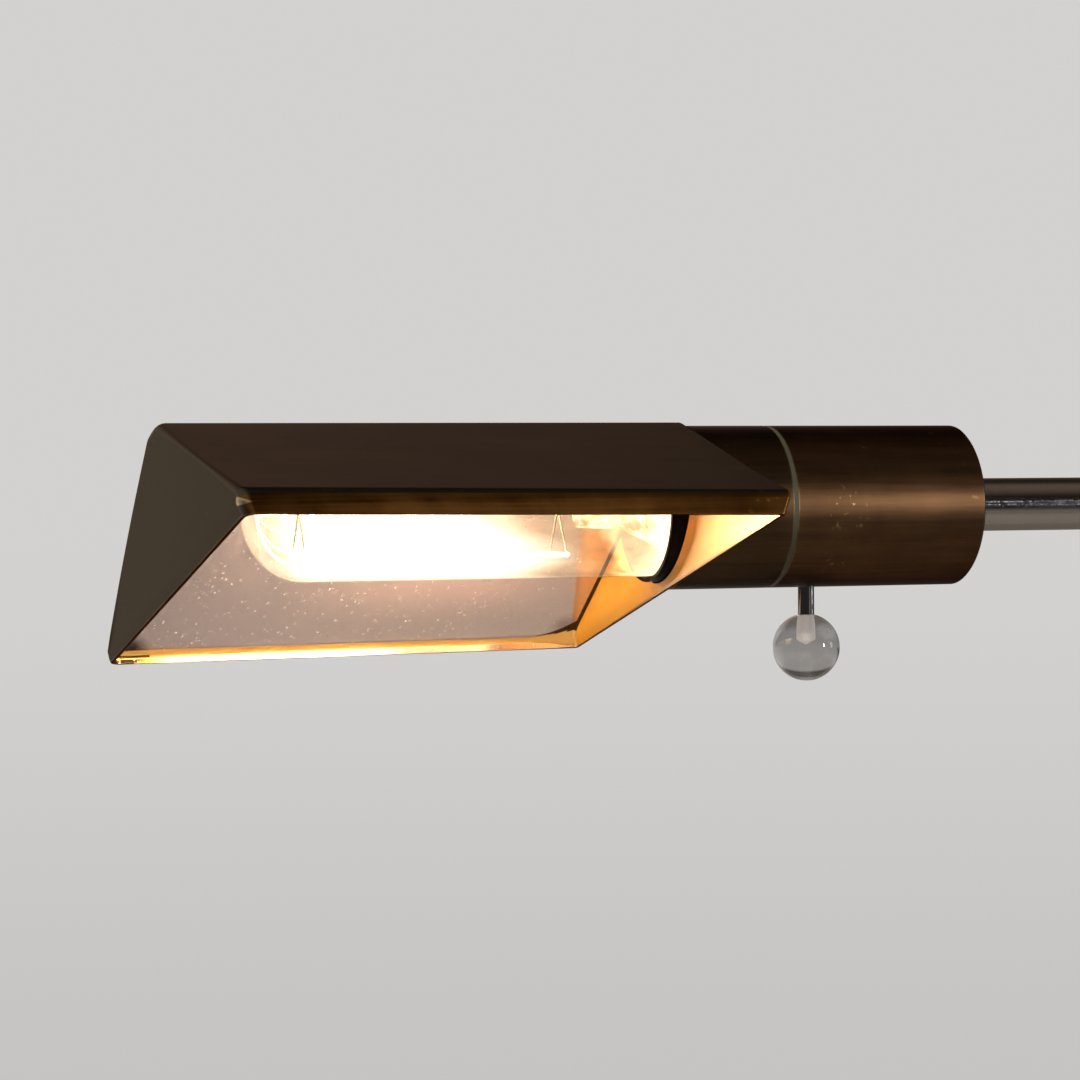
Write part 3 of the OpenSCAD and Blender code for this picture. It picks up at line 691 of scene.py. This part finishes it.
# Dark bronze of the sheet's cut edges, also used as painted shade in the inner creases and corners
SEAM_AND_SHADE = bronze("bronze_seam_and_shade", (0.060, 0.026, 0.008), (0.160, 0.070, 0.016), (0.40, 0.20, 0.06), 0.35)
BASE_BRONZE = bronze("bronze_base", (0.100, 0.060, 0.034), (0.170, 0.104, 0.060), (0.48, 0.33, 0.17), 0.36,
                     rim=(0.5, 0.45, 0.4), lacquer=0.3)
SHADE_IN = polished_inside("polished_inside", (0.87, 0.67, 0.56), (0.94, 0.73, 0.62), 0.12, 0.16, dusty=True)
# Orange copies of the inner polish on the rear end, the inner folds and the hole's lip: the rear end is
# rougher, and their golden tone is a painted glow of the bulb's light
GABLE_IN = polished_inside("polished_end_painted_glow", (0.90, 0.42, 0.042), (0.97, 0.51, 0.062), 0.36, 0.55,
                           near_tone=(0.82, 0.50, 0.24))
FOLD_IN = polished_inside("polished_fold_painted_glow", (0.86, 0.46, 0.11), (0.95, 0.57, 0.16), 0.30, 0.32)
LIP_IN = polished_inside("polished_lip_painted_glow", (0.86, 0.36, 0.06), (0.95, 0.45, 0.09), 0.36, 0.6)
CHROME = plated("chrome_upright", (0.78, 0.77, 0.75), 0.07, (60, 60, 1))
CHROME_ARM = plated("chrome_arm", (0.62, 0.61, 0.59), 0.05, (1, 60, 60), 0.00003)
STEEL = plated("zinc_steel", (0.5, 0.49, 0.46), 0.3)
BRASS = plated("plain_brass", (0.62, 0.45, 0.18), 0.25)
NYLON = moulded("nylon", (0.68, 0.66, 0.6), (0.76, 0.74, 0.68), 0.4, Subsurface_Weight=0.1)
WASHER = moulded("pale_washer", (0.034, 0.031, 0.017), (0.050, 0.046, 0.026), 0.50)
PHENOLIC = moulded("black_phenolic", (0.002, 0.001, 0.001), (0.004, 0.002, 0.002), 0.4,
                   Specular_IOR_Level=0.06)
FIBRE = moulded("brown_fibre", (0.16, 0.09, 0.045), (0.24, 0.15, 0.08), 0.6)
RUBBER = moulded("black_rubber", (0.012, 0.012, 0.012), (0.022, 0.022, 0.021), 0.55)
IRON = moulded("black_cast_iron", (0.018, 0.017, 0.016), (0.04, 0.038, 0.036), 0.65, 300, 0.0002)
FELT = moulded("dark_felt", (0.02, 0.02, 0.019), (0.045, 0.044, 0.042), 0.95, 1800, 0.0003, Sheen_Weight=0.4)
BLACK_GLASS = moulded("black_glass", (0.01, 0.01, 0.01), (0.018, 0.018, 0.018), 0.12)
BULB = clear_glass("bulb_glass", (1.0, 0.97, 0.93), bulb_veil)
MOUNT = clear_glass("bulb_mount_glass", (1.0, 0.95, 0.88), mount_veil)
WIRE = plated("support_wire", (0.22, 0.17, 0.12), 0.3)
GLOW = glowing("glowing_strand", (1.0, 0.80, 0.52), 130.0)
# the grey tint is painted shade: the darker room seen through the ball
BALL = acrylic("clear_acrylic", (0.40, 0.387, 0.374), 0.0)
# the drilled faces glow with painted light
DRILLED = acrylic("drilled_acrylic", (0.95, 0.88, 0.83), 0.5, 0.4)

finish = {
    "felt": FELT, "iron": IRON, "bronze": HOUSING, "shade_bronze": SHADE_OUT, "rubber": RUBBER,
    "steel": STEEL, "chrome": CHROME, "nylon": NYLON, "brass": BRASS, "washer": WASHER,
    "phenolic": PHENOLIC, "fibre": FIBRE, "acrylic": BALL, "bulb_glass": BULB,
    "black_glass": BLACK_GLASS, "wire": WIRE, "filament": GLOW,
}
special = {
    "base_cover": BASE_BRONZE, "column_ferrule": BASE_BRONZE, "stem_tube": CHROME_ARM,
    "key_stem": CHROME_ARM, "bulb_mount": MOUNT, "shade_collar": COLLAR,
}
for part in frame["record"]["subparts"]:
    material = special.get(part["node"], finish[part["material_slot"]])
    data = nodes[part["node"]].data
    data.materials.clear()
    data.materials.append(material)

# Pieces that stand for solids

shade_faces = SHADE_OUT, SHADE_IN, GABLE_IN, HEM, SEAM_AND_SHADE, LIP_IN, FOLD_IN  # in the order of the slots
shade = piece("shade", shade_mesh("shade"), shade_faces, "shade", "shade_bronze", "shade_shell")
bevel = shade.modifiers.new("edges", "BEVEL")
bevel.width, bevel.segments, bevel.harden_normals = 0.0003, 2, True
bevel.limit_method, bevel.angle_limit = "ANGLE", math.radians(50)
shade.modifiers.new("normals", "WEIGHTED_NORMAL").keep_sharp = True

along_axis = Matrix.Translation(HEAD) @ Matrix.Rotation(math.radians(90), 4, "Y")
piece("bulb", lathe("bulb", bulb_profile(), along_axis), (BULB,), "arm", "bulb_glass", "bulb_glass")

ball_place = Matrix.Translation(HEAD + Vector((10.6, 0, -33.25)) * MM)
piece("ball", lathe("ball", ball_profile(), ball_place), (BALL, DRILLED), "key", "acrylic", "key_ball")

# Stage, light and camera

FLOOR_TONE = (0.60, 0.592, 0.578)


def floor():
    """Pale disc that keeps shadows and fades out into the backdrop's tone."""
    bpy.ops.mesh.primitive_circle_add(vertices=128, radius=2.4, fill_type="NGON", location=(0, 0, -0.0003))
    obj = bpy.context.object
    obj.name = "floor"
    s = Shader("pale_floor").set(Roughness=0.85)
    tone = s.mix(s.ramp(s.noise(3, 3), 0.3, 0.7), tuple(c * 0.97 for c in FLOOR_TONE), FLOOR_TONE)
    # painted shade: the floor is darker where metal mirrors it
    s.to(s.mix(s.seen("Glossy"), tone, (0.28, 0.242, 0.210)), "Base Color")
    light = s.add("ShaderNodeEmission")
    light.inputs["Color"].default_value = (*FLOOR_TONE, 1)
    x, y, _ = s.axes()
    # painted light, seen only in reflections: a pool under the head and a strip toward the front
    painted_strip = s.times(s.ramp(x, 0.0, -0.06), s.ramp(x, -0.35, -0.2), s.ramp(y, -1.6, -1.0), s.ramp(y, 0.3, 0.1))
    painted_pool = s.math("MAXIMUM", s.near((-0.05, 0.15, 0), 0.12, 0.32), painted_strip)
    s.link(s.plus(s.times(s.seen("Camera", "Transmission"), 0.27), s.times(s.seen("Glossy"), painted_pool, 0.36)),
           light.inputs["Strength"])
    clear = s.add("ShaderNodeBsdfTransparent")
    s.surface(s.blend(s.near((0, 0, 0), 0.9, 2.2), clear.outputs["BSDF"],
                      s.both(s.bsdf.outputs["BSDF"], light.outputs["Emission"])))
    obj.data.materials.append(s.mat)


def area(name, where, target, size, power, color=(1, 1, 1), mirrored=True):
    """Round lamp that faces the target; metal shows it only where it is mirrored."""
    data = bpy.data.lights.new(name, "AREA")
    data.energy, data.color, data.size, data.shape = power, color, size, "DISK"
    obj = bpy.data.objects.new(name, data)
    scene.collection.objects.link(obj)
    obj.visible_glossy = mirrored
    obj.location = where
    obj.rotation_euler = (Vector(target) - Vector(where)).to_track_quat("-Z", "Y").to_euler()


def world():
    """Pale backdrop for the eye and for glass; metal mirrors it behind the lamp, and a dim room elsewhere."""
    data = bpy.data.worlds.new("studio")
    scene.world = data
    data.use_nodes = True
    g = Graph(data.node_tree, "Generated")
    out = g.add("ShaderNodeOutputWorld")
    x, y, z = g.axes()

    backdrop = g.add("ShaderNodeBackground")
    rise = g.ramp(z, -0.19, -0.01, smooth=True)
    g.link(g.mix(rise, (0.560, 0.553, 0.540), (0.648, 0.641, 0.627)), backdrop.inputs["Color"])
    # The ball bends a darker zone overhead to its lower edge
    above = g.times(g.ramp(z, 0.48, 0.58, smooth=True), g.ramp(z, 0.72, 0.85, 1.0, 0.3, smooth=True))
    g.link(g.math("SUBTRACT", 1.0, g.times(above, g.seen("Transmission"), 0.8)), backdrop.inputs["Strength"])

    # What metal mirrors: the wall behind, the floor, streaks in the arm, a warm ceiling and side windows
    room = g.add("ShaderNodeBackground")
    behind = g.times(g.ramp(y, 0.1, 0.7, 0.0, 0.62, smooth=True),
                     g.ramp(z, 0.40, 0.70, 1.0, 0.0, smooth=True),
                     g.ramp(x, 0.2, 0.4, 1.25, 0.75), g.ramp(x, 0.41, 0.455, 1.0, 0.12))
    below = g.ramp(z, -0.22, -0.5, 0.0, 0.2)
    lamps = g.times(g.ramp(g.noise(11, 2, 0.5, (12, 1, 0.8)), 0.60, 0.70, smooth=True), g.ramp(y, -0.5, -0.7),
                    g.ramp(z, 0.42, 0.3), g.ramp(z, -0.25, -0.1), g.ramp(x, 0.40, 0.44), 1.6)
    ceiling = g.times(g.ramp(z, 0.45, 0.95, 0.0, 0.115, smooth=True),
                      g.ramp(y, 0.4, -0.1, 0.05, 1.0, smooth=True),
                      g.ramp(x, 0.37, 0.48, 0.15, 1.0, smooth=True))
    sides = g.math("MAXIMUM", g.ramp(x, 0.55, 0.72), g.ramp(x, -0.02, -0.3))
    windows = g.times(sides, g.plus(g.ramp(z, 0.1, 0.3), g.ramp(z, -0.12, -0.3)), 0.45)
    high = g.mix(g.ramp(z, 0.1, 0.38), WARM_WHITE, (1.0, 0.60, 0.44))
    high = g.mix(g.ramp(z, 0.45, 0.7), high, (1.0, 0.74, 0.60))
    tint = g.mix(g.ramp(z, -0.05, -0.3), high, (1.0, 0.87, 0.76))
    tint = g.mix(g.ramp(windows, 0.0, 0.15), tint, WARM_WHITE)
    g.link(g.mix(g.ramp(lamps, 0.0, 0.2), tint, (0.86, 0.92, 1.0)), room.inputs["Color"])
    g.link(g.plus(g.math("MAXIMUM", behind, below), ceiling, lamps, windows, 0.022), room.inputs["Strength"])

    ambient = g.add("ShaderNodeBackground")
    g.put(WARM_WHITE, ambient.inputs["Color"])
    g.put(0.25, ambient.inputs["Strength"])
    indirect = g.blend(g.seen("Glossy"), ambient.outputs["Background"], room.outputs["Background"])
    view = g.seen("Camera", "Transmission")
    g.link(g.blend(view, indirect, backdrop.outputs["Background"]), out.inputs["Surface"])


def camera():
    """The photograph's view, fitted from the head's cylinder, shade edges and ball."""
    yaw, pitch, roll = math.radians(19.458), math.radians(-0.90), math.radians(-0.4695)
    forward = Vector((math.sin(yaw) * math.cos(pitch), math.cos(yaw) * math.cos(pitch), math.sin(pitch)))
    level = Vector((math.cos(yaw), -math.sin(yaw), 0))
    upright = level.cross(forward)
    right = math.cos(roll) * level + math.sin(roll) * upright
    up = -math.sin(roll) * level + math.cos(roll) * upright
    data = bpy.data.cameras.new("camera")
    data.sensor_width, data.lens = 36.0, 106.26
    data.clip_start, data.clip_end = 0.01, 50
    obj = bpy.data.objects.new("camera", data)
    scene.collection.objects.link(obj)
    turn = Matrix((right, up, -forward)).transposed().to_4x4()
    obj.matrix_world = Matrix.Translation(HEAD + Vector((-299.39, -689.27, 4.387)) * MM) @ turn
    scene.camera = obj


floor()
world()
area("key", (0.70, -1.22, 1.15), (-0.30, 0, 1.01), 0.2, 9, (1.0, 0.95, 0.9))
area("top", (-0.9, -0.6, 2.4), (-0.2, 0, 0.4), 0.8, 30, WARM_WHITE, mirrored=False)
area("fill", (-1.7, -1.2, 0.42), (-0.2, 0, 0.7), 0.8, 4, mirrored=False)
area("side", (1.7, -0.6, 1.15), (-0.1, 0, 0.9), 0.5, 2)
camera()

scene.view_settings.view_transform = "Standard"
